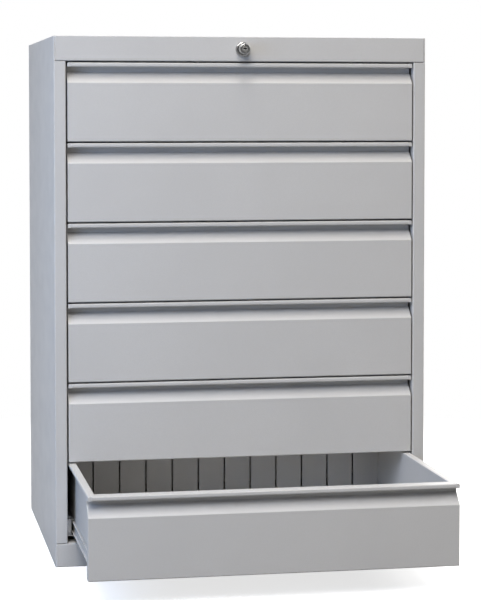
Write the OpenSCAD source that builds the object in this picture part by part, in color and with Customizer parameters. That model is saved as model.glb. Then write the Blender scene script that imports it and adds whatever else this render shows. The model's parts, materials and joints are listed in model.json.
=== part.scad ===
// Drawer cabinet in folded sheet steel. Six full-width drawers run on ball-bearing
// slides that hook into slotted uprights. A push lock in the top rail moves a rod,
// whose slanted slot drives one locking bar behind the drawers.
// Millimetres. Z is up and the drawer fronts face -Y. The origin is the centre of
// the casing's footprint, on the floor. The bottom drawer is drawn pulled out.

/* [Casing] */
// Overall width of the casing
cabinet_w = 717; // [640:1:860]
// Overall depth of the casing
cabinet_d = 572; // [560:1:700]
// Overall height of the casing
cabinet_h = 1000; // [940:1:1120]
// Sheet thickness of the casing
case_t = 1.2; // [1:0.1:1.6]
// Sheet thickness of the slotted uprights
upright_t = 1.5; // [1.2:0.1:2]
// Inner radius of the folds in the casing
case_fold = 1; // [0.6:0.1:1.6]
// Width of each stile beside the drawers
stile_w = 23; // [21:0.5:30]
// How far a stile is folded back beside the drawers
stile_return = 18; // [12:1:19]
// Height of the rail above the drawers
rail_h = 46.5; // [44:0.5:60]
// How far the rail is folded back at its lower edge
rail_return = 16; // [10:1:19]
// Height of the plinth below the drawers
plinth_h = 45; // [40:1:80]
// How far the plinth is folded back at its top and bottom
plinth_return = 20; // [12:1:23]
// Open seam between rail, stile and plinth
seam = 0.8; // [0.4:0.1:1.2]
// Width of the flanges at the back edge and foot of a side panel
side_flange = 20; // [16:1:26]
// Depth of the flanges under the top panel
top_flange = 8; // [6:0.5:8]
// Depth of the flanges under the base panel
base_flange = 15; // [10:1:24]
// Width of the bearer under the base panel
bearer_w = 50; // [40:1:90]
// Width of a slotted upright
upright_w = 30; // [24:1:36]
// Number of back panel screws on each side
screws_per_side = 5; // [4:1:7]
// Shank diameter of a back panel screw
screw_d = 4; // [3:0.5:5]

/* [Drawers] */
// Gap round every drawer front
drawer_gap = 3; // [2.4:0.1:4]
// Sheet thickness of fronts and trays
drawer_t = 1; // [0.8:0.1:1.2]
// Inner radius of the folds in fronts and trays
drawer_fold = 1; // [0.6:0.1:1.2]
// Depth of a drawer front, from its face to the tray behind it
front_depth = 24; // [24:0.5:30]
// Height of the grip's lip
lip_h = 7.7; // [6.5:0.1:9]
// Depth of the grip's recess behind the face
grip_depth = 22; // [16:0.5:22]
// Height of the upright wall inside the grip
grip_wall = 9.5; // [8:0.5:12]
// Height of the slope below the grip
grip_slope = 20.3; // [14:0.1:26]
// Width of the rim on each side of a tray
rim_w = 13; // [12.5:0.1:14]
// Height of the folded-down edge of the rim
rim_edge = 5.5; // [4:0.1:7]
// Length of lip left to the tray's corner at each end
corner_w = 6.5; // [4:0.1:9]
// Space left behind the trays for the locking bar
rear_space = 46; // [44:0.5:60]
// Height of a tray's underside above its front's lower edge
tray_lift = 3; // [2:0.1:4]
// Distance between the divider slots in a tray's back
divider_pitch = 53; // [40:1:70]
// Width of a divider slot
divider_slot = 3; // [2:0.1:4]
// How far the bottom drawer is drawn pulled out
shown_pull = 327; // [0:1:400]

/* [Slides] */
// Full travel of a drawer
drawer_travel = 400; // [320:5:400]
// Height of the slide's centre above the front's lower edge
slide_z = 22.25; // [21:0.25:23.5]
// Sheet thickness of the slide members
slide_t = 1.2; // [1:0.1:1.4]
// Height of the runner on the tray
runner_h = 21.5; // [19:0.5:22]
// Width of the runner on the tray
runner_w = 4.5; // [4.3:0.1:5]
// Diameter of the balls
ball_d = 3.2; // [2.6:0.1:3.4]
// Play between a ball and its races
ball_play = 0.3; // [0.2:0.05:0.4]
// Balls in one row of a cage
balls_per_row = 5; // [3:1:7]
// Height of the rail's top edge above the front's lower edge
bracket_top = 43; // [40:0.5:48]
// Width of the folded top edge of the rail
bracket_edge = 8; // [5:0.5:9]

/* [Lock] */
// How far the plunger is pushed in to lock
lock_travel = 10; // [8:0.5:10]
// Diameter of the chrome collar
collar_d = 28; // [27:0.5:32]
// How far the collar stands out from the rail
collar_out = 5; // [3:0.5:7]
// Diameter of the plunger
plunger_d = 20; // [18:0.1:20]
// How far the plunger stands out from the rail when unlocked
plunger_out = 27; // [20:0.5:32]
// Diameter of the keyed plug
plug_d = 12; // [10:0.1:13]
// Width of the key slot
key_w = 7; // [5:0.1:8]
// Diameter of the push rod
rod_d = 8; // [6:0.1:8]
// Running play of the lock's shafts in their bores, on the radius
shaft_play = 0.08; // [0.04:0.01:0.1]
// Wire diameter of the lock spring
wire_d = 1.6; // [1.2:0.1:1.8]
// Turns of the lock spring
spring_turns = 6; // [4:1:8]
// Diameter of the cam pin
cam_pin_d = 5; // [4:0.1:6]
// Width of the locking bar
bar_w = 12; // [10:0.5:16]
// Thickness of the locking bar
bar_t = 3; // [2:0.1:4]
// Height of a catch above its front's lower edge
catch_z = 98; // [80:1:108]

/* [Hidden] */
DRAWERS = [1, 2, 3, 4, 5, 6];

fold_steps = 4;
weld = 0.4;
half_w = cabinet_w / 2;
half_d = cabinet_d / 2;
wall_x = half_w - case_t;
back_y = half_d - 2 * case_t;
panel_x = wall_x - case_fold - 0.5;
edge_w = case_fold + case_t + weld;
stile_x = half_w - stile_w;
base_top = plinth_h - case_t;
top_under = cabinet_h - case_t;

pitch = (cabinet_h - rail_h - plinth_h - drawer_gap) / len(DRAWERS);
front_h = pitch - drawer_gap;
front_x = stile_x - drawer_gap;
tray_x = front_x - rim_w;
tray_front = -half_d + front_depth;
tray_back = half_d - rear_space;
tray_base = tray_lift;
recess_top = front_h - lip_h;
slope_top = recess_top - grip_wall;
slope_foot = slope_top - grip_slope;
hem_h = 8;
front_return = front_depth - 2;

end_play = 0.5;
slide_inset = 11;
slide_front = tray_front + end_play;
slide_back = tray_back - slide_inset;
race_gap = ball_d + 2 * ball_play;
channel_h = runner_h + 2 * race_gap + 2 * slide_t;
channel_x = stile_x - upright_t;
channel_foot = tray_x + end_play;
ball_x = tray_x + runner_w - ball_d / 2 - ball_play;
ball_z = runner_h / 2 + race_gap / 2;
cage_t = 0.8;
cage_x = tray_x + runner_w + ball_play;
cage_room = 5;
stop_front = slide_front + 3 * cage_room;
cage_front = stop_front + drawer_travel / 2 + cage_room;
cage_len = slide_back - stop_front - drawer_travel - 2 * cage_room;
ball_end = 10;
ball_pitch = (cage_len - 2 * ball_end) / (balls_per_row - 1);

upright_front_y = -half_d + stile_return + 4;
upright_rear_y = slide_back - upright_w - 6;
slots_per_drawer = 6;
slot_pitch = pitch / slots_per_drawer;
hook_w = 3;
hook_neck = 5;
hook_drop = 5;
hook_z = 9;
hook_play = 0.3;
slot_h = hook_neck + hook_drop + 1;

lock_z = cabinet_h - rail_h / 2;
collar_bore = plunger_d / 2 + shaft_play;
housing_r = plunger_d / 2 + 2;
stem_r = plunger_d / 4;
head_back = 4;
ring_t = 1.5;
spring_room = 26;
housing_back = head_back + spring_room;
housing_wall = 4;
nut_across = 2 * housing_r + 4;
nut_t = 5;
stem_back = housing_back + housing_wall + 6;
plug_back = 8;
spring_r = plunger_d / 2 - wire_d;

bar_x1 = -2;
bar_y = tray_back + rear_space / 2 + end_play;
cam_t = 3;
cam_x0 = 0;
cam_z = lock_z + lock_travel / 2;
cam_margin = 6;
boss_r = cam_pin_d / 2 + 4.5;
pin_head_t = 2;
rod_end = bar_y - boss_r - lock_travel - 2 * end_play;
catch_t = 2;
catch_x0 = 3;
catch_h = 14;
catch_floor = 3;
catch_head = 5;
catch_notch = 4;
dog_w = 12;
dog_t = 5;
dog_h = 14;
dog_clear = 1.5;
guide_h = 16;
guide_wall = 4;
guide_z = 40;
guided_drawers = [2, 4, 6];
rod_guide_t = 12;
divider_foot = 12;
divider_head = 31;
corner_seam = 0.3;

// ---- folded sheet ---------------------------------------------------------

function unit(v) = v / norm(v);
function left(v) = [-v[1], v[0]];
function turned(v, a) = [v[0] * cos(a) - v[1] * sin(a), v[0] * sin(a) + v[1] * cos(a)];

// Points and inward normals round one corner p of a path, from direction u to v.
function corner_points(p, u, v, t, r) =
    let (side = u[0] * v[1] - u[1] * v[0] > 0 ? 1 : -1,
         turn = acos(u * v),
         radius = side > 0 ? r + t : r,
         centre = p - u * radius * tan(turn / 2) + side * radius * left(u))
    [for (i = [0 : fold_steps])
        let (w = turned(u, side * turn * i / fold_steps))
        [centre - side * radius * left(w), left(w)]];

function path_points(path, t, r) =
    let (last = len(path) - 1)
    concat(
        [[path[0], left(unit(path[1] - path[0]))]],
        [for (i = [1 : last - 1]) each corner_points(path[i], unit(path[i] - path[i - 1]),
            unit(path[i + 1] - path[i]), t, r)],
        [[path[last], left(unit(path[last] - path[last - 1]))]]);

// A folded strip whose material lies to the left of the path.
module folded(path, t, r) {
    points = path_points(path, t, r);
    polygon(concat([for (q = points) q[0]],
        [for (i = [len(points) - 1 : -1 : 0]) points[i][0] + t * points[i][1]]));
}

// The area that a folded strip encloses, drawn to the middle of the sheet.
module enclosed(path, t, r) {
    polygon([for (q = path_points(path, t, r)) q[0] + t / 2 * q[1]]);
}

// Extrusions of a profile: [y, z] along X, [x, z] along Y, [x, y] along Z.
module along_x(x0, x1) {
    translate([x0, 0, 0]) rotate([90, 0, 90]) linear_extrude(x1 - x0) children();
}

module along_y(y0, y1) {
    translate([0, y1, 0]) rotate([90, 0, 0]) linear_extrude(y1 - y0) children();
}

module along_z(z0, z1) {
    translate([0, 0, z0]) linear_extrude(z1 - z0) children();
}

module box(low, high) {
    translate(low) cube(high - low);
}

// A round bar along Y, from y0 to y1, about the lock's axis.
module lock_round(r, y0, y1) {
    translate([0, y0, lock_z]) rotate([-90, 0, 0]) cylinder(r = r, h = y1 - y0, $fn = 64);
}

module mirrored_pair() {
    children();
    mirror([1, 0, 0]) children();
}

// ---- casing ---------------------------------------------------------------

module screw_places() {
    end_z = 2 * plinth_h;
    step = (cabinet_h - 2 * end_z) / (screws_per_side - 1);
    for (i = [0 : screws_per_side - 1])
        translate([half_w - side_flange / 2, half_d, end_z + i * step]) children();
}

module screw_hole() {
    rotate([90, 0, 0]) cylinder(d = screw_d + 0.1, h = 8 * case_t, center = true, $fn = 32);
}

module side_panel() {
    difference() {
        union() {
            along_z(0, cabinet_h)
                folded([[-half_w + side_flange, half_d], [-half_w, half_d],
                        [-half_w, -half_d], [-half_w + edge_w, -half_d]], case_t, case_fold);
            along_z(plinth_h + seam, cabinet_h - rail_h - seam)
                folded([[-half_w + edge_w - weld, -half_d], [-stile_x, -half_d],
                        [-stile_x, -half_d + stile_return]], case_t, case_fold);
            box([-half_w + weld, -half_d + plinth_return + case_t, 0],
                [-half_w + side_flange, half_d - side_flange, case_t]);
        }
        mirror([1, 0, 0]) screw_places() screw_hole();
    }
}

module side_panel_left() {
    color("gainsboro") side_panel();
}

module side_panel_right() {
    color("gainsboro") mirror([1, 0, 0]) side_panel();
}

module top_panel() {
    front_y = -half_d + case_t;
    side_in = case_fold + case_t + end_play;
    color("gainsboro") {
        along_y(front_y + side_in, back_y - side_in)
            folded([[wall_x, cabinet_h - 2 * top_flange], [wall_x, cabinet_h],
                    [-wall_x, cabinet_h], [-wall_x, cabinet_h - 2 * top_flange]],
                   case_t, case_fold);
        along_x(-wall_x + side_in, wall_x - side_in)
            folded([[back_y, cabinet_h - 2 * top_flange], [back_y, cabinet_h],
                    [front_y, cabinet_h], [front_y, cabinet_h - top_flange]],
                   case_t, case_fold);
    }
}

module top_rail() {
    end_x = half_w - edge_w - seam / 2;
    color("gainsboro") difference() {
        along_x(-end_x, end_x)
            folded([[-half_d, cabinet_h], [-half_d, cabinet_h - rail_h],
                    [-half_d + rail_return, cabinet_h - rail_h]], case_t, case_fold);
        lock_round(housing_r + 0.1, -half_d - 1, -half_d + 2 * case_t);
    }
}

module back_panel() {
    color("gainsboro") difference() {
        box([-panel_x, back_y, 0], [panel_x, back_y + case_t, cabinet_h]);
        mirrored_pair() screw_places() screw_hole();
    }
}

module back_panel_screws() {
    color("silver") mirrored_pair() screw_places() {
        rotate([90, 0, 0]) cylinder(d = screw_d, h = 2 * case_t + 3, $fn = 32);
        rotate([-90, 0, 0]) cylinder(d = 2 * screw_d, h = screw_d / 2, $fn = 32);
    }
}

module base_panel() {
    front_y = -half_d + 2 * case_t + case_fold;
    color("gainsboro") along_y(front_y, back_y)
        folded([[wall_x, base_top - base_flange], [wall_x, base_top], [-wall_x, base_top],
                [-wall_x, base_top - base_flange]], case_t, case_fold);
}

module plinth() {
    end_x = half_w - edge_w - seam / 2;
    color("gainsboro") along_x(-end_x, end_x)
        folded([[-half_d + plinth_return, plinth_h], [-half_d, plinth_h], [-half_d, 0],
                [-half_d + plinth_return, 0]], case_t, case_fold);
}

module base_bearer() {
    wing = bearer_w / 2 + base_flange;
    under = base_top - case_t;
    color("gainsboro") along_y(-half_d + plinth_return + case_t, back_y)
        folded([[-wing, under - case_t], [-bearer_w / 2, under - case_t], [-bearer_w / 2, 0],
                [bearer_w / 2, 0], [bearer_w / 2, under - case_t], [wing, under - case_t]],
               case_t, case_fold);
}

// A slotted upright on the left, from y0 to y0 + upright_w.
module upright(y0) {
    low_slot_z = drawer_foot(len(DRAWERS)) + hook_z;
    difference() {
        along_z(base_top, cabinet_h - 2 * top_flange - end_play)
            folded([[-wall_x, y0], [-stile_x, y0], [-stile_x, y0 + upright_w],
                    [-wall_x, y0 + upright_w]], upright_t, case_fold);
        for (i = [0 : slots_per_drawer * len(DRAWERS) - 1])
            translate([-stile_x, y0 + upright_w / 2, low_slot_z + i * slot_pitch])
                box([-2 * upright_t, -hook_w / 2 - hook_play, 0],
                    [upright_t, hook_w / 2 + hook_play, slot_h]);
    }
}

module uprights_front() {
    color("darkgray") mirrored_pair() upright(upright_front_y);
}

module uprights_rear() {
    color("darkgray") mirrored_pair() upright(upright_rear_y);
}

// ---- drawers --------------------------------------------------------------

// Height of the lower edge of drawer n's front; drawer 1 is the top one.
function drawer_foot(n) = plinth_h + drawer_gap + (len(DRAWERS) - n) * pitch;
function drawer_pull(n) = n == len(DRAWERS) ? shown_pull : 0;

module at_drawer(n, share = 1) {
    translate([0, -share * drawer_pull(n), drawer_foot(n)]) children();
}

// The front's section as [depth behind the face, height], below its lip and at its lip.
// The lip's hem hooks over the tray's front wall, between the tray's side walls.
function face_path(top_z) = [
    [grip_depth, top_z], [grip_depth, slope_top], [0, slope_foot], [0, 0], [front_return, 0]];
function lip_path() = [
    [front_depth + 2 * drawer_t, front_h - hem_h], [front_depth + 2 * drawer_t, front_h],
    [0, front_h], [0, recess_top]];

module drawer_front() {
    lip_x = front_x - corner_w - corner_seam;
    open_top = recess_top - corner_seam;
    translate([0, -half_d, 0]) {
        difference() {
            along_x(-lip_x, lip_x)
                folded(concat(lip_path(), face_path(recess_top)), drawer_t, drawer_fold);
            mirrored_pair() box([tray_x - drawer_t - corner_seam, front_depth, front_h - 2 * hem_h],
                [front_x, front_depth + 2 * hem_h, front_h + hem_h]);
        }
        mirrored_pair() {
            along_x(lip_x, front_x) folded(face_path(open_top), drawer_t, drawer_fold);
            along_x(front_x - drawer_t, front_x)
                enclosed(face_path(open_top), drawer_t, drawer_fold);
        }
    }
}

// One front corner of the tray's rim, which closes the end of the lip.
module tray_corner() {
    along_y(-half_d, tray_front + weld)
        folded([[front_x, recess_top], [front_x, front_h], [front_x - corner_w, front_h]],
               drawer_t, drawer_fold);
    box([front_x - corner_w, -half_d, recess_top],
        [front_x - drawer_t / 2, -half_d + drawer_t, front_h - drawer_t / 2]);
}

module divider_slots(y0, y1) {
    count = floor((tray_x - divider_pitch / 2) / divider_pitch);
    for (i = [-count : count])
        box([i * divider_pitch - divider_slot / 2, y0, tray_base + divider_foot],
            [i * divider_pitch + divider_slot / 2, y1, front_h - divider_head]);
}

module drawer_tray() {
    rim_under = front_h - drawer_t;
    edge_in = front_x - drawer_t;
    end_x = tray_x - drawer_t + weld;
    end_z = tray_base + drawer_t - weld;
    difference() {
        union() {
            along_y(tray_front, tray_back)
                folded([[-edge_in, front_h - rim_edge], [-edge_in, rim_under],
                        [-tray_x, rim_under], [-tray_x, tray_base], [tray_x, tray_base],
                        [tray_x, rim_under], [edge_in, rim_under],
                        [edge_in, front_h - rim_edge]], drawer_t, drawer_fold);
            along_x(-end_x, end_x)
                folded([[tray_back - hem_h, end_z], [tray_back, end_z],
                        [tray_back, front_h], [tray_back - hem_h, front_h]],
                       drawer_t, drawer_fold);
            along_x(-end_x, end_x)
                folded([[tray_front - hem_h, front_h - 2 * drawer_t],
                        [tray_front, front_h - 2 * drawer_t], [tray_front, end_z],
                        [tray_front + hem_h, end_z]], drawer_t, drawer_fold);
            mirrored_pair() tray_corner();
        }
        divider_slots(tray_back - 3 * drawer_t, tray_back + drawer_t);
        divider_slots(tray_front - drawer_t, tray_front + 2 * drawer_t);
    }
}

module runner() {
    along_y(slide_front + end_play, slide_back - slide_t - end_play)
        translate([tray_x, slide_z])
            folded([[runner_w, runner_h / 2], [0, runner_h / 2], [0, -runner_h / 2],
                    [runner_w, -runner_h / 2]], slide_t, drawer_fold / 2);
}

module cage_strip() {
    tip_x = tray_x + 0.4;
    web_x = cage_x + cage_t;
    edge_z = ball_z + cage_t / 2;
    difference() {
        along_y(cage_front, cage_front + cage_len)
            translate([0, slide_z])
                folded([[tip_x, -edge_z], [web_x, -edge_z], [web_x, edge_z], [tip_x, edge_z]],
                       cage_t, drawer_fold / 2);
        ball_places()
            cylinder(d = ball_d + ball_play, h = 4 * cage_t, center = true, $fn = 32);
    }
}

module ball_places() {
    for (i = [0 : balls_per_row - 1]) for (side = [-1, 1])
        translate([ball_x, cage_front + ball_end + i * ball_pitch, slide_z + side * ball_z])
            children();
}

module ball_cage() {
    cage_strip();
    ball_places() sphere(d = ball_d, $fn = 24);
}

// One hook of a rail, through a slot of an upright.
module rail_hook() {
    tail_x = stile_x + upright_t + hook_play;
    box([stile_x - weld, -hook_w / 2, 0], [tail_x + 2, hook_w / 2, hook_neck]);
    box([tail_x, -hook_w / 2, -hook_drop], [tail_x + 2, hook_w / 2, hook_neck]);
}

module cabinet_rail() {
    low_z = slide_z - channel_h / 2;
    high_z = slide_z + channel_h / 2;
    web_x = channel_x + weld;
    along_y(slide_front, slide_back) {
        folded([[stile_x, low_z], [stile_x, bracket_top], [stile_x - bracket_edge, bracket_top]],
               upright_t, drawer_fold);
        folded([[channel_foot, low_z], [web_x, low_z], [web_x, high_z], [channel_foot, high_z]],
               slide_t, drawer_fold / 2);
    }
    box([cage_x + ball_play, stop_front, low_z + weld],
        [channel_x, stop_front + slide_t, high_z - weld]);
    box([channel_foot, slide_back - slide_t, low_z + weld],
        [channel_x, slide_back, high_z - weld]);
    for (y0 = [upright_front_y, upright_rear_y]) for (i = [0, 1])
        translate([0, y0 + upright_w / 2, hook_z + i * slot_pitch]) rail_hook();
}

module drawer_catch() {
    foot_w = 20;
    head_y = bar_y + dog_t / 2 + dog_clear;
    notch_y = bar_y - dog_t / 2 - dog_clear;
    box([catch_x0, tray_back, catch_z - catch_notch],
        [catch_x0 + foot_w, tray_back + catch_t, catch_z + catch_h]);
    along_x(catch_x0, catch_x0 + catch_t)
        polygon([[tray_back, catch_z], [head_y + catch_head, catch_z],
                 [head_y + catch_head, catch_z + catch_h], [head_y, catch_z + catch_h],
                 [head_y, catch_z + catch_floor], [notch_y, catch_z + catch_floor],
                 [notch_y, catch_z + catch_h], [tray_back, catch_z + catch_h]]);
}

module drawer_piece(n, piece) {
    if (piece == "front") color("lightgray") at_drawer(n) drawer_front();
    if (piece == "tray") color("whitesmoke") at_drawer(n) drawer_tray();
    if (piece == "runners") color("silver") at_drawer(n) mirrored_pair() runner();
    if (piece == "ball_cages") color("goldenrod") at_drawer(n, 0.5) mirrored_pair() ball_cage();
    if (piece == "rails") color("darkgray") at_drawer(n, 0) mirrored_pair() cabinet_rail();
    if (piece == "catch") color("silver") at_drawer(n) drawer_catch();
}

// ---- lock -----------------------------------------------------------------

// A round section of the collar: radius against distance in front of the rail.
module lock_housing() {
    rim_r = collar_d / 2;
    round_r = min(collar_out - 1, rim_r - collar_bore - 0.5);
    color("silver") translate([0, -half_d, lock_z]) rotate([90, 0, 0]) rotate_extrude($fn = 96)
        polygon(concat(
            [[rim_r, 0], [rim_r, collar_out - round_r]],
            [for (a = [15 : 15 : 75]) [rim_r - round_r * (1 - cos(a)),
                                       collar_out - round_r * (1 - sin(a))]],
            [[rim_r - round_r, collar_out], [collar_bore, collar_out],
             [collar_bore, -housing_back], [stem_r + shaft_play, -housing_back],
             [stem_r + shaft_play, -housing_back - housing_wall],
             [housing_r, -housing_back - housing_wall], [housing_r, 0]]));
}

module lock_nut() {
    color("silver") difference() {
        translate([0, -half_d + case_t, lock_z]) rotate([-90, 0, 0])
            cylinder(r = nut_across / sqrt(3), h = nut_t, $fn = 6);
        lock_round(housing_r + 0.02, -half_d, -half_d + case_t + 2 * nut_t);
    }
}

module lock_plunger() {
    edge = 1.2;
    head_r = plunger_d / 2;
    face_y = -half_d - plunger_out;
    color("silver") difference() {
        union() {
            translate([0, -half_d, lock_z]) rotate([90, 0, 0]) rotate_extrude($fn = 96)
                polygon([[0, -head_back], [head_r, -head_back], [head_r, plunger_out - edge],
                         [head_r - edge, plunger_out], [0, plunger_out]]);
            lock_round(stem_r, -half_d, -half_d + stem_back);
        }
        lock_round(plug_d / 2 + shaft_play, face_y - 1, -half_d - plug_back);
    }
}

module lock_plug() {
    face_y = -half_d - plunger_out;
    slot_depth = 9;
    slot_w = 1.8;
    color("silver") difference() {
        lock_round(plug_d / 2, face_y, -half_d - plug_back);
        box([-key_w / 2, face_y - 1, lock_z - slot_w / 2],
            [key_w / 2, face_y + slot_depth, lock_z + slot_w / 2]);
    }
}

// Holds the plunger in the housing against the spring.
module lock_ring() {
    ring_y = -half_d + housing_back + housing_wall + 0.2;
    color("gray") difference() {
        lock_round(stem_r + 3, ring_y, ring_y + ring_t);
        lock_round(stem_r + 0.02, ring_y - 1, ring_y + ring_t + 1);
    }
}

// Rings along a helix about the lock's axis, closed into one tube.
module lock_spring() {
    sides = 6;
    rings_per_turn = 8;
    rings = spring_turns * rings_per_turn;
    rise = (spring_room - wire_d - 2 * ball_play) / rings;
    y0 = -half_d + head_back + wire_d / 2 + ball_play;
    function ring_point(i, k) =
        let (a = 360 * i / rings_per_turn, b = 360 * k / sides,
             r = spring_r + wire_d / 2 * cos(b))
        [r * cos(a), y0 + rise * i + wire_d / 2 * sin(b), lock_z + r * sin(a)];
    tube = [for (i = [0 : rings]) for (k = [0 : sides - 1]) ring_point(i, k)];
    color("gray") polyhedron(tube, concat(
        [[for (k = [0 : sides - 1]) k]],
        [for (i = [0 : rings - 1]) for (k = [0 : sides - 1])
            let (a = i * sides + k, b = i * sides + (k + 1) % sides)
            each [[a, a + sides, b], [b, a + sides, b + sides]]],
        [[for (k = [sides - 1 : -1 : 0]) rings * sides + k]]));
}

// Outline of the cam slot: it leans so that the bar drops as the rod moves back.
function cam_slot(r) = concat(
    [for (a = [-45 : 15 : 135]) [bar_y + r * cos(a), cam_z + r * sin(a)]],
    [for (a = [135 : 15 : 315]) [bar_y - lock_travel + r * cos(a),
                                 cam_z - lock_travel + r * sin(a)]]);

// Push rod with its cam plate.
module lock_rod() {
    slot_r = cam_pin_d / 2 + 2 * shaft_play;
    color("silver") {
        lock_round(rod_d / 2, -half_d + stem_back, rod_end);
        difference() {
            box([cam_x0, rod_end - 2 * rod_d, cam_z - lock_travel - cam_margin - slot_r],
                [cam_x0 + cam_t, bar_y + cam_margin, cam_z + cam_margin]);
            along_x(cam_x0 - 1, cam_x0 + cam_t + 1) polygon(cam_slot(slot_r));
        }
    }
}

module rod_guides() {
    block_w = 3 * rod_d;
    color("dimgray") for (y = [-half_d / 2, tray_back - 3 * rod_guide_t]) difference() {
        box([-block_w / 2, y, lock_z - rod_d / 2 - guide_wall],
            [block_w / 2, y + rod_guide_t, top_under]);
        lock_round(rod_d / 2 + shaft_play, y - 1, y + rod_guide_t + 1);
    }
}

module lock_bar() {
    bar_foot = drawer_foot(len(DRAWERS)) + guide_z - guide_h;
    color("silver") difference() {
        union() {
            box([bar_x1 - bar_w, bar_y - bar_t / 2, bar_foot],
                [bar_x1, bar_y + bar_t / 2, cam_z]);
            translate([bar_x1 - bar_w, bar_y, cam_z]) rotate([0, 90, 0])
                cylinder(r = boss_r, h = bar_w, $fn = 48);
        }
        translate([bar_x1 - bar_w - 1, bar_y, cam_z]) rotate([0, 90, 0])
            cylinder(r = cam_pin_d / 2 + 0.02, h = bar_w + 2, $fn = 48);
    }
}

// A dog on the bar's edge above the catch of every drawer.
module lock_dogs() {
    color("silver") for (n = DRAWERS) {
        foot = drawer_foot(n) + catch_z + catch_h + dog_clear;
        box([bar_x1, bar_y - dog_t / 2, foot],
            [bar_x1 + dog_w, bar_y + dog_t / 2, foot + dog_h]);
    }
}

module cam_pin() {
    head_x = cam_x0 + cam_t + end_play;
    color("gray") translate([bar_x1 - bar_w, bar_y, cam_z]) rotate([0, 90, 0]) {
        cylinder(d = cam_pin_d, h = head_x + bar_w - bar_x1, $fn = 48);
        translate([0, 0, head_x + bar_w - bar_x1])
            cylinder(r = boss_r - 2, h = pin_head_t, $fn = 48);
    }
}

module lock_bar_guides() {
    play = 0.3;
    color("dimgray") for (n = guided_drawers) {
        foot = drawer_foot(n) + guide_z;
        difference() {
            box([bar_x1 - bar_w - guide_wall - play, bar_y - bar_t / 2 - guide_wall / 2, foot],
                [bar_x1 + guide_wall + play, back_y, foot + guide_h]);
            box([bar_x1 - bar_w - play, bar_y - bar_t / 2 - play, foot - 1],
                [bar_x1 + play, bar_y + bar_t / 2 + play, foot + guide_h + 1]);
        }
    }
}

// ---- nodes ----------------------------------------------------------------

side_panel_left();
side_panel_right();
top_panel();
top_rail();
back_panel();
back_panel_screws();
base_panel();
plinth();
base_bearer();
uprights_front();
uprights_rear();
lock_housing();
lock_nut();
lock_plunger();
lock_plug();
lock_spring();
lock_ring();
lock_rod();
rod_guides();
lock_bar();
lock_dogs();
cam_pin();
lock_bar_guides();
for (n = DRAWERS) {
    drawer_piece(n, "front");
    drawer_piece(n, "tray");
    drawer_piece(n, "runners");
    drawer_piece(n, "ball_cages");
    drawer_piece(n, "rails");
    drawer_piece(n, "catch");
}
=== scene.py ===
"""Dresses the drawer cabinet: powder coat, plated steel, the push lock and the back's screws.

Everything is in metres in the frame of the model: the origin is the centre of the
casing's footprint on the floor, the drawer fronts face -Y and Z is up.
"""

import json
import math

import bmesh
import bpy
from mathutils import Matrix, Vector


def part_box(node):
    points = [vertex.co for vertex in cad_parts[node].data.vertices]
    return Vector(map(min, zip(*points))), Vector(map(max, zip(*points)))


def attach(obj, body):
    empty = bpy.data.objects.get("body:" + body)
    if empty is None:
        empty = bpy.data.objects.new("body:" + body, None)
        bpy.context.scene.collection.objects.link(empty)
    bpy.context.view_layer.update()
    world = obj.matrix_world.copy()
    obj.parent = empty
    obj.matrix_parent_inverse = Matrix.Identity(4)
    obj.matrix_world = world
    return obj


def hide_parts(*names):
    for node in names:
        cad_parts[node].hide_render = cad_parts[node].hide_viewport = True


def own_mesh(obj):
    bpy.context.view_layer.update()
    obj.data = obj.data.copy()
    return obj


MM = 0.001
WHITE = (1.0, 1.0, 1.0)
# Edges that bend by more than this are shown sharp.
SHARP = math.radians(32)
# Sockets of the Mix node for colours, found by number because their names repeat.
MIX_FACTOR, MIX_A, MIX_B, MIX_RESULT = 0, 6, 7, 2

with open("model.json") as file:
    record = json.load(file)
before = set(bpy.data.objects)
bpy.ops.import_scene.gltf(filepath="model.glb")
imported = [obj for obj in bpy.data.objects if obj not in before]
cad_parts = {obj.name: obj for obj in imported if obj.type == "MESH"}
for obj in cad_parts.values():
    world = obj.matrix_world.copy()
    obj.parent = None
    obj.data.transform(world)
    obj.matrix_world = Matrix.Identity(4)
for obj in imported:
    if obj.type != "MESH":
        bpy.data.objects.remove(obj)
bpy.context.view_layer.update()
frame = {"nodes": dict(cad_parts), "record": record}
nodes = frame["nodes"]


# ---- Material building blocks --------------------------------------------------------


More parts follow.
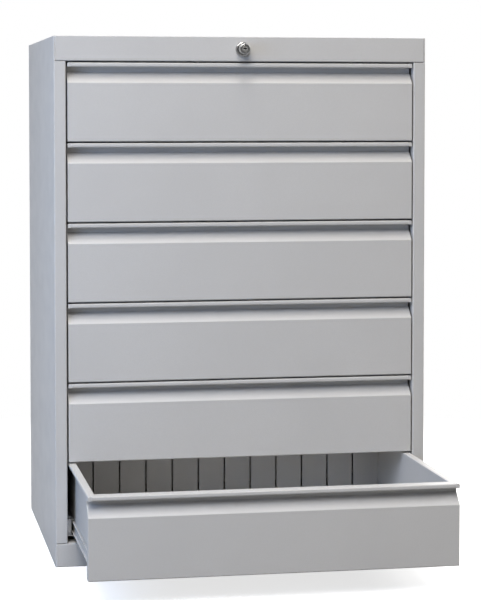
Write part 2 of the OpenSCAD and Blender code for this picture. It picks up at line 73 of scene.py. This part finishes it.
class Shader:
    """A node material around one Principled shader."""

    def __init__(self, name, base, roughness, metallic=0.0, specular=0.5):
        self.material = bpy.data.materials.new(name)
        self.material.use_nodes = True
        self.tree = self.material.node_tree
        self.bsdf = self.tree.nodes["Principled BSDF"]
        self.set(self.bsdf, "Base Color", (*base, 1.0))
        self.set(self.bsdf, "Roughness", roughness)
        self.set(self.bsdf, "Metallic", metallic)
        self.set(self.bsdf, "Specular IOR Level", specular)
        self.place = self.add("ShaderNodeTexCoord").outputs["Object"]

    def add(self, kind, inputs=None, **settings):
        """A new node with its settings, and its inputs as values or links."""
        node = self.tree.nodes.new(kind)
        for key, value in settings.items():
            setattr(node, key, value)
        for key, value in (inputs or {}).items():
            self.set(node, key, value)
        return node

    def set(self, node, key, value):
        """Links a socket to one of node's inputs, or gives the input a value."""
        if isinstance(value, bpy.types.NodeSocket):
            self.tree.links.new(value, node.inputs[key])
        else:
            node.inputs[key].default_value = value

    def noise(self, size, detail=2.0, stretch=(1.0, 1.0, 1.0)):
        """Noise whose features are about size metres across, from 0 to 1."""
        place = self.add(
            "ShaderNodeMapping", {"Vector": self.place, "Scale": stretch}
        ).outputs["Vector"]
        return self.add(
            "ShaderNodeTexNoise",
            {"Vector": place, "Scale": 1.0 / size, "Detail": detail},
        ).outputs["Fac"]

    def spread(self, value, low, high, start=0.35, end=0.65):
        """value from start to end, spread over low to high.

        Nearly all of a noise's values lie between the usual start and end.
        """
        return self.add(
            "ShaderNodeMapRange",
            {"Value": value, "From Min": start, "From Max": end, "To Min": low, "To Max": high},
        ).outputs["Result"]

    def part(self, value, most):
        """value from 0 to 1, scaled to go from 0 to most."""
        return self.spread(value, 0.0, most, 0.0, 1.0)

    def blend(self, factor, a, b):
        """Colour a towards colour b by factor."""
        node = self.add("ShaderNodeMix", data_type="RGBA")
        self.set(node, MIX_FACTOR, factor)
        for index, colour in ((MIX_A, a), (MIX_B, b)):
            if not isinstance(colour, bpy.types.NodeSocket):
                colour = (*colour, 1.0)
            self.set(node, index, colour)
        return node.outputs[MIX_RESULT]

    def bump(self, height, depth, strength, normal=None):
        """Normals for a relief of height, depth metres deep, laid over normal."""
        inputs = {"Height": height, "Distance": depth, "Strength": strength}
        if normal is not None:
            inputs["Normal"] = normal
        return self.add("ShaderNodeBump", inputs).outputs["Normal"]

    def rounded(self, radius):
        """Normals as if every edge were rounded to radius, and how near an edge is, 0 to 1."""
        soft = self.add("ShaderNodeBevel", {"Radius": radius}, samples=4).outputs["Normal"]
        true = self.add("ShaderNodeNewGeometry").outputs["True Normal"]
        dot = self.add(
            "ShaderNodeVectorMath", {0: soft, 1: true}, operation="DOT_PRODUCT"
        ).outputs["Value"]
        return soft, self.spread(dot, 1.0, 0.0, 0.75, 0.995)


def shade(colour, factor):
    """A colour made darker or lighter."""
    return tuple(min(1.0, c * factor) for c in colour)


# ---- Materials -----------------------------------------------------------------------


def powder_coat(name, colour, bend, painted_highlight):
    """Powder coat with a fine orange peel, faint clouding and a painted highlight that makes thin
    edges brighter.

    bend is the radius that edges seem rounded to, and the last argument is how much brighter the
    painted highlight makes the edges.
    """
    m = Shader(name, colour, roughness=0.44, specular=0.3)
    soft, edge = m.rounded(bend)
    cloud = m.noise(0.16, 3.0)
    speckle = m.noise(1.4 * MM, 1.0)
    tone = m.blend(m.spread(cloud, 0.0, 1.0), shade(colour, 0.98), shade(colour, 1.02))
    tone = m.blend(m.spread(speckle, 0.0, 0.5), tone, shade(colour, 0.93))
    # Painted highlight: the edges are lightened as if they caught the light.
    tone = m.blend(m.part(edge, 0.9), tone, shade(colour, painted_highlight))
    m.set(m.bsdf, "Base Color", tone)
    handled = m.noise(0.07, 4.0, (1.0, 1.0, 2.0))
    m.set(m.bsdf, "Roughness", m.spread(handled, 0.41, 0.48))
    peel = m.bump(m.noise(2.6 * MM, 2.0), 0.05 * MM, 0.4, soft)
    m.set(m.bsdf, "Normal", m.bump(speckle, 0.02 * MM, 0.45, peel))
    return m.material


def plated_steel(name, colour, roughness):
    """Plated steel with a soft spangle, fine drawing marks along Y and edges lightened by a painted
    highlight.
    """
    m = Shader(name, colour, roughness, metallic=1.0)
    soft, edge = m.rounded(0.3 * MM)
    cell = m.add(
        "ShaderNodeTexVoronoi", {"Vector": m.place, "Scale": 1.0 / (6.25 * MM)}, feature="F1"
    ).outputs["Color"]
    patch = m.add("ShaderNodeSeparateColor", {"Color": cell}).outputs["Red"]
    marks = m.noise(0.5 * MM, 2.0, (1.0, 1.0 / 30.0, 1.0))
    tone = m.blend(patch, shade(colour, 0.9), shade(colour, 1.08))
    # Painted highlight: the edges are lightened as if they caught the light.
    tone = m.blend(m.part(edge, 0.5), tone, shade(colour, 1.25))
    m.set(m.bsdf, "Base Color", tone)
    m.set(m.bsdf, "Roughness", m.spread(marks, roughness * 0.8, roughness * 1.25))
    m.set(m.bsdf, "Normal", m.bump(marks, 0.015 * MM, 0.5, soft))
    return m.material


def polished_chrome(name, colour):
    """Bright chrome with a little haze and hairline scratches."""
    m = Shader(name, colour, roughness=0.1, metallic=1.0)
    haze = m.noise(3.0 * MM, 3.0)
    hairs = m.noise(0.25 * MM, 2.0, (1.0, 0.08, 1.0))
    tone = m.blend(m.spread(haze, 0.0, 1.0), shade(colour, 0.94), colour)
    m.set(m.bsdf, "Base Color", tone)
    m.set(m.bsdf, "Roughness", m.spread(haze, 0.07, 0.16))
    m.set(m.bsdf, "Normal", m.bump(hairs, 0.004 * MM, 0.35))
    return m.material


def turned_face(name, colour, centre):
    """Nickel-plated metal turned on a lathe about centre, with rings on its face."""
    m = Shader(name, colour, roughness=0.24, metallic=1.0)
    place = m.add(
        "ShaderNodeMapping", {"Vector": m.place, "Location": tuple(-c for c in centre)}
    ).outputs["Vector"]
    rings = m.add(
        "ShaderNodeTexWave",
        {"Vector": place, "Scale": 900.0, "Distortion": 0.6},
        wave_type="RINGS",
        rings_direction="Y",
    ).outputs["Fac"]
    m.set(m.bsdf, "Base Color", m.blend(rings, shade(colour, 0.93), colour))
    m.set(m.bsdf, "Normal", m.bump(rings, 0.01 * MM, 0.4))
    return m.material


def moulded_nylon(name, colour):
    """Dark moulded nylon with a spark-eroded grain and edges lightened by a painted highlight."""
    m = Shader(name, colour, roughness=0.55, specular=0.4)
    soft, edge = m.rounded(0.4 * MM)
    grain = m.noise(0.6 * MM, 3.0)
    tone = m.blend(m.spread(grain, 0.0, 1.0), shade(colour, 0.8), shade(colour, 1.3))
    # Painted highlight: the edges are lightened as if they caught the light.
    tone = m.blend(m.part(edge, 0.4), tone, shade(colour, 2.0))
    m.set(m.bsdf, "Base Color", tone)
    m.set(m.bsdf, "Roughness", m.spread(grain, 0.48, 0.62))
    m.set(m.bsdf, "Normal", m.bump(grain, 0.03 * MM, 0.6, soft))
    return m.material


GREY = (0.567, 0.562, 0.552)
LOCK_CENTRE = (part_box("lock_housing")[0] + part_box("lock_housing")[1]) / 2

# By the record's material slots, apart from key_way, which is the inside of the key slot, coloured
# near black as painted shade.
finishes = {
    # The last number of each powder coat is how much its painted edge highlight brightens the
    # edges.
    "casing_paint": powder_coat("casing_powder_coat", GREY, 1.5 * MM, 1.75),
    "drawer_paint": powder_coat("drawer_powder_coat", GREY, 1.0 * MM, 1.6),
    "zinc": plated_steel("zinc_plated_steel", (0.53, 0.54, 0.56), 0.36),
    "slide_steel": plated_steel("slide_steel", (0.6, 0.61, 0.63), 0.3),
    "cage_steel": plated_steel("cage_steel", (0.58, 0.53, 0.38), 0.34),
    "spring_steel": plated_steel("spring_steel", (0.33, 0.33, 0.34), 0.32),
    "chrome": polished_chrome("polished_chrome", (0.5, 0.5, 0.5)),
    "plug_steel": turned_face("turned_nickel", (0.62, 0.61, 0.59), LOCK_CENTRE),
    # Painted shade: the slot's inside is steel, coloured near black to stand for the shade in it.
    "key_way": plated_steel("key_way_painted_shade", (0.03, 0.03, 0.03), 0.5),
    "nylon": moulded_nylon("moulded_nylon", (0.02, 0.02, 0.022)),
}

for part in frame["record"]["subparts"]:
    mesh = nodes[part["node"]].data
    mesh.materials.clear()
    mesh.materials.append(finishes[part["material_slot"]])


# ---- Mesh building blocks ------------------------------------------------------------


def lathe(bm, profile, centre, steps=96):
    """Turns [radius, distance towards -Y] points about the Y axis through centre.

    The profile is a closed loop, and a radius of 0 becomes a single point.
    """
    rings = []
    for radius, out in profile:
        if radius == 0.0:
            rings.append([bm.verts.new(centre + Vector((0.0, -out, 0.0)))])
            continue
        ring = []
        for i in range(steps):
            a = 2.0 * math.pi * i / steps
            ring.append(
                bm.verts.new(centre + Vector((radius * math.cos(a), -out, radius * math.sin(a))))
            )
        rings.append(ring)
    for a, b in zip(rings, rings[1:] + rings[:1]):
        if len(a) == 1 and len(b) == 1:
            continue
        for i in range(steps):
            j = (i + 1) % steps
            if len(a) == 1:
                corners = [a[0], b[j], b[i]]
            elif len(b) == 1:
                corners = [a[i], a[j], b[0]]
            else:
                corners = [a[i], a[j], b[j], b[i]]
            bm.faces.new(corners)
    bmesh.ops.recalc_face_normals(bm, faces=bm.faces)


def arc(centre, radius, start, end, steps=6):
    """Points from angle start to end, in degrees, as [radius, distance] pairs."""
    return [
        (
            centre[0] + radius * math.cos(math.radians(start + (end - start) * i / steps)),
            centre[1] + radius * math.sin(math.radians(start + (end - start) * i / steps)),
        )
        for i in range(steps + 1)
    ]


def block(bm, low, high):
    """A box between two corners."""
    low, high = Vector(low), Vector(high)
    middle = Matrix.Translation((low + high) / 2)
    bmesh.ops.create_cube(bm, size=1.0, matrix=middle @ Matrix.Diagonal((*(high - low), 1.0)))


def funnel(bm, place, half, deep, flare):
    """A tapered block that runs deep metres into +Y from place.

    half is half its width and height at its back, and each side opens by flare towards
    the front, where the block stands out of place by a quarter of its depth.
    """
    rings = []
    for y, grow in ((-0.25 * deep, 1.25 * flare * deep), (deep, 0.0)):
        x, z = half[0] + grow, half[1] + grow
        rings.append(
            [
                bm.verts.new((place[0] + i * x, place[1] + y, place[2] + k * z))
                for i, k in ((-1, -1), (1, -1), (1, 1), (-1, 1))
            ]
        )
    front, back = rings
    bm.faces.new(front)
    bm.faces.new(back)
    for i in range(4):
        j = (i + 1) % 4
        bm.faces.new([front[i], front[j], back[j], back[i]])
    bmesh.ops.recalc_face_normals(bm, faces=bm.faces)


def mark_edges(bm):
    """Shades across every edge but the sharp and the open ones."""
    for edge in bm.edges:
        edge.smooth = edge.is_manifold and edge.calc_face_angle(math.pi) < SHARP


def new_object(name, bm, material=None):
    """The mesh as an object, smooth but for its sharp edges."""
    for face in bm.faces:
        face.smooth = True
    mark_edges(bm)
    mesh = bpy.data.meshes.new(name)
    bm.to_mesh(mesh)
    bm.free()
    piece = bpy.data.objects.new(name, mesh)
    bpy.context.scene.collection.objects.link(piece)
    if material is not None:
        mesh.materials.append(material)
    return piece


def cut(piece, tool):
    """Takes tool's shape out of piece for good; the cut keeps tool's material if it has one."""
    modifier = piece.modifiers.new("cut", "BOOLEAN")
    modifier.operation = "DIFFERENCE"
    modifier.solver = "EXACT"
    modifier.material_mode = "TRANSFER" if tool.data.materials else "INDEX"
    modifier.object = tool
    depsgraph = bpy.context.evaluated_depsgraph_get()
    mesh = bpy.data.meshes.new_from_object(piece.evaluated_get(depsgraph))
    piece.modifiers.clear()
    piece.data = mesh
    bpy.data.objects.remove(tool)
    bm = bmesh.new()
    bm.from_mesh(mesh)
    mark_edges(bm)
    bm.to_mesh(mesh)
    bm.free()


def stands_for(piece, node, body):
    """piece is shown in node's place."""
    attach(piece, body)
    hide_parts(node)


# ---- The push lock -------------------------------------------------------------------


def span(node):
    """A node's size and its front and back along Y."""
    low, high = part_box(node)
    return high - low, low.y, high.y


# Room between the lock's parts that move in each other, on the radius.
PLAY = 0.08 * MM
STEM_RADIUS = 5.0 * MM
RAIL_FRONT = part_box("top_rail")[0].y
# Where the lock's axis meets the rail. Distances in the profiles below count from here,
# towards the front.
LOCK_AXIS = Vector((LOCK_CENTRE.x, RAIL_FRONT, LOCK_CENTRE.z))


def make_collar():
    """The lock's fixed housing, with a domed collar in front of the rail."""
    size, collar_front, housing_back = span("lock_housing")
    rim, bore = size.x / 2, span("lock_plunger")[0].x / 2 + PLAY
    body = bore + 1.92 * MM
    out = RAIL_FRONT - collar_front
    deep = RAIL_FRONT - housing_back
    wall = 4.0 * MM
    dome = rim - bore - 0.9 * MM
    hole = STEM_RADIUS + PLAY
    crown = arc((rim - dome, out - dome), dome, 0.0, 80.0, 10)
    bm = bmesh.new()
    lathe(
        bm,
        [(body, 0.0), (rim - 0.3 * MM, 0.0), (rim, 0.3 * MM), *crown,
         (bore + 0.5 * MM, out), (bore, out - 0.5 * MM), (bore, deep + wall),
         (hole, deep + wall), (hole, deep), (body, deep)],
        LOCK_AXIS,
    )
    collar = new_object("lock_collar", bm, finishes["chrome"])
    stands_for(collar, "lock_housing", "cabinet")


def make_plunger():
    """The round head that is pushed in, hollow for the plug, and its stem."""
    size, face, stem_back = span("lock_plunger")
    plug_size, _, plug_back = span("lock_plug")
    radius = size.x / 2
    hole = plug_size.x / 2 + PLAY
    front = RAIL_FRONT - face
    end, floor = RAIL_FRONT - stem_back, RAIL_FRONT - plug_back
    head_back = -4.0 * MM
    edge = 1.4 * MM
    groove = front - 0.4 * MM
    bm = bmesh.new()
    lathe(
        bm,
        [(0.0, end), (STEM_RADIUS, end), (STEM_RADIUS, head_back),
         (radius, head_back), (radius, front - edge),
         *arc((radius - edge, front - edge), edge, 10.0, 90.0, 6),
         (hole + 1.1 * MM, front), (hole + 0.8 * MM, groove),
         (hole + 0.35 * MM, groove), (hole, front - 0.7 * MM),
         (hole, floor), (0.0, floor)],
        LOCK_AXIS,
    )
    button = new_object("lock_button", bm, finishes["chrome"])
    stands_for(button, "lock_plunger", "lock_push")


def make_plug():
    """The keyed plug in the plunger's face, with a flared slot and its ward."""
    size, face, plug_back = span("lock_plug")
    radius = size.x / 2
    front, back = RAIL_FRONT - face, RAIL_FRONT - plug_back
    bm = bmesh.new()
    lathe(
        bm,
        [(0.0, back), (radius, back), (radius, front - 0.6 * MM),
         (radius - 0.3 * MM, front - 0.15 * MM), (radius - 0.9 * MM, front), (0.0, front)],
        LOCK_AXIS,
        72,
    )
    plug = new_object("lock_key_plug", bm, finishes["plug_steel"])
    # The key slot's half width, half height and depth, and the depth and flare of its mouth.
    half, thick, deep = 3.6 * MM, 1.25 * MM, 9.0 * MM
    lead, flare = 0.8 * MM, 1.4
    height = LOCK_AXIS.z
    bm = bmesh.new()
    funnel(bm, (LOCK_AXIS.x, face, height), (half, thick), lead, flare)
    cut(plug, new_object("key_lead", bm, finishes["chrome"]))
    # Both cuts line the slot with key_way's near-black painted shade.
    for name, left, right, down, up in (
        ("key_way", -half, half, thick, thick),
        ("key_ward", -0.4 * half, 0.2 * half, 0.0, 1.7 * thick),
    ):
        bm = bmesh.new()
        block(bm, (left, face - MM, height - down), (right, face + deep, height + up))
        cut(plug, new_object(name, bm, finishes["key_way"]))
    stands_for(plug, "lock_plug", "key_plug")


def make_spring():
    """The wound spring behind the plunger's head, which shortens as the lock is pushed."""
    low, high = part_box("lock_spring")
    middle = (low + high) / 2
    outer = (high.x - low.x) / 2
    wire = 2 * (span("lock_plunger")[0].x / 2 - outer)
    length = high.y - low.y
    # All turns, the closed ones at each end, the steps of one turn and the wire's sides.
    turns, closed, steps, sides = 6.0, 0.9, 36, 12
    count = round(turns * steps)
    rings, bm = [], bmesh.new()
    for i in range(count + 1):
        turn = turns * i / count
        ends = min(turn, closed) + max(0.0, turn - turns + closed)
        run = max(0.0, min(turn, turns - closed) - closed) / (turns - 2 * closed)
        y = low.y + wire / 2 + ends * wire + run * (length - (1 + 2 * closed) * wire)
        a = 2 * math.pi * turn
        out = Vector((math.cos(a), 0.0, math.sin(a)))
        ring = []
        for k in range(sides):
            b = 2 * math.pi * k / sides
            reach = outer - wire / 2 + wire / 2 * math.cos(b)
            place = Vector((middle.x, y + wire / 2 * math.sin(b), middle.z)) + out * reach
            ring.append(bm.verts.new(place))
        rings.append(ring)
    for a, b in zip(rings, rings[1:]):
        for k in range(sides):
            bm.faces.new([a[k], a[(k + 1) % sides], b[(k + 1) % sides], b[k]])
    bm.faces.new(rings[0])
    bm.faces.new(rings[-1])
    bmesh.ops.recalc_face_normals(bm, faces=bm.faces)
    spring = new_object("push_spring", bm, finishes["spring_steel"])
    stands_for(spring, "lock_spring", "cabinet")
    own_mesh(spring)


# ---- The back panel's screws ---------------------------------------------------------


def loose_parts(mesh):
    """The lowest and highest corners of each separate part of a mesh."""
    bm = bmesh.new()
    bm.from_mesh(mesh)
    bmesh.ops.remove_doubles(bm, verts=bm.verts, dist=1e-6)
    seen, parts = set(), []
    for start in bm.verts:
        if start in seen:
            continue
        heap, found = [start], []
        seen.add(start)
        while heap:
            vert = heap.pop()
            found.append(vert.co.copy())
            for edge in vert.link_edges:
                other = edge.other_vert(vert)
                if other not in seen:
                    seen.add(other)
                    heap.append(other)
        low = Vector(min(c[i] for c in found) for i in range(3))
        high = Vector(max(c[i] for c in found) for i in range(3))
        parts.append((low, high))
    bm.free()
    return parts


def make_screw(name, low, high):
    """A pan-head screw with a cross recess, in the space of one plain screw."""
    centre = Vector(((low.x + high.x) / 2, high.y, (low.z + high.z) / 2))
    head = (high.z - low.z) / 2
    tall = head / 2
    shank = head / 2
    length = high.y - low.y
    bm = bmesh.new()
    lathe(
        bm,
        [(0.0, 0.0), (0.55 * head, 0.05 * tall), (0.82 * head, 0.28 * tall),
         (0.97 * head, 0.62 * tall), (head, 0.85 * tall), (head, tall), (shank, tall),
         (shank, 0.94 * length), (0.8 * shank, length), (0.0, length)],
        centre,
        32,
    )
    screw = new_object(name, bm, finishes["zinc"])
    # The cross recess: the half length and half width of its arms, and its depth.
    arm, width, deep = 0.5 * head, 0.1 * head, 0.65 * tall
    for half_x, half_z in ((arm, width), (width, arm)):
        bm = bmesh.new()
        block(
            bm,
            (centre.x - half_x, centre.y - deep, centre.z - half_z),
            (centre.x + half_x, centre.y + MM, centre.z + half_z),
        )
        cut(screw, new_object(name + "_recess", bm))
    return screw


def make_screws():
    """One screw for each of the plain ones, which share a node."""
    for number, (low, high) in enumerate(loose_parts(nodes["back_panel_screws"].data)):
        screw = make_screw(f"back_screw_{number + 1}", low, high)
        stands_for(screw, "back_panel_screws", "cabinet")


make_collar()
make_plunger()
make_plug()
make_spring()
make_screws()


# ---- Studio --------------------------------------------------------------------------

# The floor bounces this much light onto the cabinet.
FLOOR_BOUNCE = (0.26, 0.26, 0.26)
# The camera sees the floor glow this much near the cabinet, and turn white between these
# distances from the origin.
FLOOR_GLOW = 0.72
FLOOR_FADE = (0.8, 1.6)
# Shiny surfaces see a dim room in front of the cabinet and white behind it. For the floor
# this is its brightness in front, and the places along Y where it begins and stops to rise.
FLOOR_FRONT = 0.3
FLOOR_RISE = (-1.0, 0.2)
# For the world it goes by the direction's Y.
ROOM = {"From Min": -0.8, "From Max": 0.2, "To Min": 0.2, "To Max": 1.0}

MIDDLE = (0.0, -0.25, 0.55)
WARM, WARMER = (1.0, 0.975, 0.955), (1.0, 0.955, 0.905)
# Each lamp: place, target, size, colour, power in watts, and whether shiny surfaces show
# it, which they do unless this says otherwise.
LAMPS = {
    "softbox": ((-1.0, -5.4, 5.0), MIDDLE, 3.0, WARM, 155.0),
    "overhead": ((-0.8, -3.2, 6.6), MIDDLE, 2.6, WARMER, 146.0),
    "skylight": ((-0.4, -1.6, 7.0), MIDDLE, 2.6, WARMER, 136.0),
    "key": ((-1.7, -2.6, 2.8), MIDDLE, 1.4, WARM, 37.0),
    "behind": ((2.2, 5.2, 4.4), MIDDLE, 3.0, (1.0, 0.985, 0.965), 230.0),
    "right": ((5.6, 0.6, 3.4), MIDDLE, 2.6, (1.0, 0.99, 0.98), 110.0),
    "window": ((-1.7, -1.1, 0.9), (-0.33, -0.3, 0.35), 1.0, (0.42, 0.62, 1.0), 15.0, False),
}

# The photograph's view, found from the cabinet's edges in it: the lens in mm, its shift,
# the camera's place, and how many degrees it looks down and to the right.
LENS, SHIFT = 119.04, -0.158
CAMERA_PLACE = (-0.70079, -3.98960, 0.86074)
LOOKS_DOWN, LOOKS_RIGHT = 2.731, 10.654


def make_floor():
    """A floor that looks white, with the cabinet's shadow near its foot."""
    bm = bmesh.new()
    bmesh.ops.create_grid(bm, x_segments=1, y_segments=1, size=30.0)
    m = Shader("studio_floor", FLOOR_BOUNCE, roughness=0.9, specular=0.2)
    rays = m.add("ShaderNodeLightPath").outputs
    reach = m.add("ShaderNodeVectorMath", {0: m.place}, operation="LENGTH").outputs["Value"]
    white, glow = (
        m.add("ShaderNodeEmission", {"Color": (*WHITE, 1.0), "Strength": power}).outputs["Emission"]
        for power in (1.0, FLOOR_GLOW)
    )
    matt = m.add("ShaderNodeBsdfDiffuse", {"Color": (*WHITE, 1.0)}).outputs["BSDF"]
    near = m.add("ShaderNodeAddShader", {0: matt, 1: glow}).outputs["Shader"]
    seen = m.add(
        "ShaderNodeMixShader", {0: m.spread(reach, 0.0, 1.0, *FLOOR_FADE), 1: near, 2: white}
    ).outputs["Shader"]
    depth = m.add("ShaderNodeSeparateXYZ", {0: m.place}).outputs["Y"]
    room = m.add(
        "ShaderNodeEmission", {"Color": m.spread(depth, FLOOR_FRONT, 1.0, *FLOOR_RISE)}
    ).outputs["Emission"]
    direct = m.add(
        "ShaderNodeMath",
        {0: rays["Is Camera Ray"], 1: rays["Is Transmission Ray"]},
        operation="MAXIMUM",
    ).outputs["Value"]
    shown = m.add(
        "ShaderNodeMixShader", {0: direct, 1: m.bsdf.outputs["BSDF"], 2: seen}
    ).outputs["Shader"]
    mix = m.add("ShaderNodeMixShader", {0: rays["Is Glossy Ray"], 1: shown, 2: room})
    out = m.tree.nodes["Material Output"]
    m.tree.links.new(mix.outputs["Shader"], out.inputs["Surface"])
    floor = new_object("studio_floor", bm, m.material)


def make_world():
    """A white background, and a room for shiny surfaces to show.

    It gives no light of its own, which is left to the lamps.
    """
    world = bpy.data.worlds.new("studio")
    world.use_nodes = True
    tree = world.node_tree
    new, link = tree.nodes.new, tree.links.new
    rays = new("ShaderNodeLightPath").outputs
    dark = tree.nodes["Background"]
    dark.inputs["Strength"].default_value = 0.0
    white = new("ShaderNodeBackground")
    white.inputs["Color"].default_value = (*WHITE, 1.0)
    axes = new("ShaderNodeSeparateXYZ")
    link(new("ShaderNodeTexCoord").outputs["Generated"], axes.inputs["Vector"])
    depth = new("ShaderNodeMapRange")
    link(axes.outputs["Y"], depth.inputs["Value"])
    for key, value in ROOM.items():
        depth.inputs[key].default_value = value
    room = new("ShaderNodeBackground")
    link(depth.outputs["Result"], room.inputs["Color"])
    mirrored = new("ShaderNodeMixShader")
    link(rays["Is Glossy Ray"], mirrored.inputs[0])
    link(dark.outputs["Background"], mirrored.inputs[1])
    link(room.outputs["Background"], mirrored.inputs[2])
    seen = new("ShaderNodeMath")
    seen.operation = "MAXIMUM"
    link(rays["Is Camera Ray"], seen.inputs[0])
    link(rays["Is Transmission Ray"], seen.inputs[1])
    mix = new("ShaderNodeMixShader")
    link(seen.outputs["Value"], mix.inputs[0])
    link(mirrored.outputs["Shader"], mix.inputs[1])
    link(white.outputs["Background"], mix.inputs[2])
    link(mix.outputs["Shader"], tree.nodes["World Output"].inputs["Surface"])
    bpy.context.scene.world = world


def make_lamp(name, place, target, size, colour, power, shines=True):
    """A square softbox at place, facing target, which shiny surfaces may show."""
    data = bpy.data.lights.new(name, "AREA")
    data.size = size
    data.color = colour
    data.energy = power
    lamp = bpy.data.objects.new(name, data)
    lamp.location = place
    lamp.rotation_mode = "QUATERNION"
    lamp.rotation_quaternion = (Vector(target) - Vector(place)).to_track_quat("-Z", "Y")
    lamp.visible_glossy = shines
    lamp.visible_camera = False
    bpy.context.scene.collection.objects.link(lamp)


def make_camera():
    """The camera, as it stood for the photograph."""
    data = bpy.data.cameras.new("camera")
    data.sensor_width = 36.0
    data.lens = LENS
    data.shift_y = SHIFT
    camera = bpy.data.objects.new("camera", data)
    camera.location = CAMERA_PLACE
    camera.rotation_euler = (math.radians(90.0 - LOOKS_DOWN), 0.0, math.radians(-LOOKS_RIGHT))
    bpy.context.scene.collection.objects.link(camera)
    bpy.context.scene.camera = camera


make_floor()
make_world()
for lamp_name, settings in LAMPS.items():
    make_lamp(lamp_name, *settings)
make_camera()
bpy.context.scene.view_settings.view_transform = "Standard"
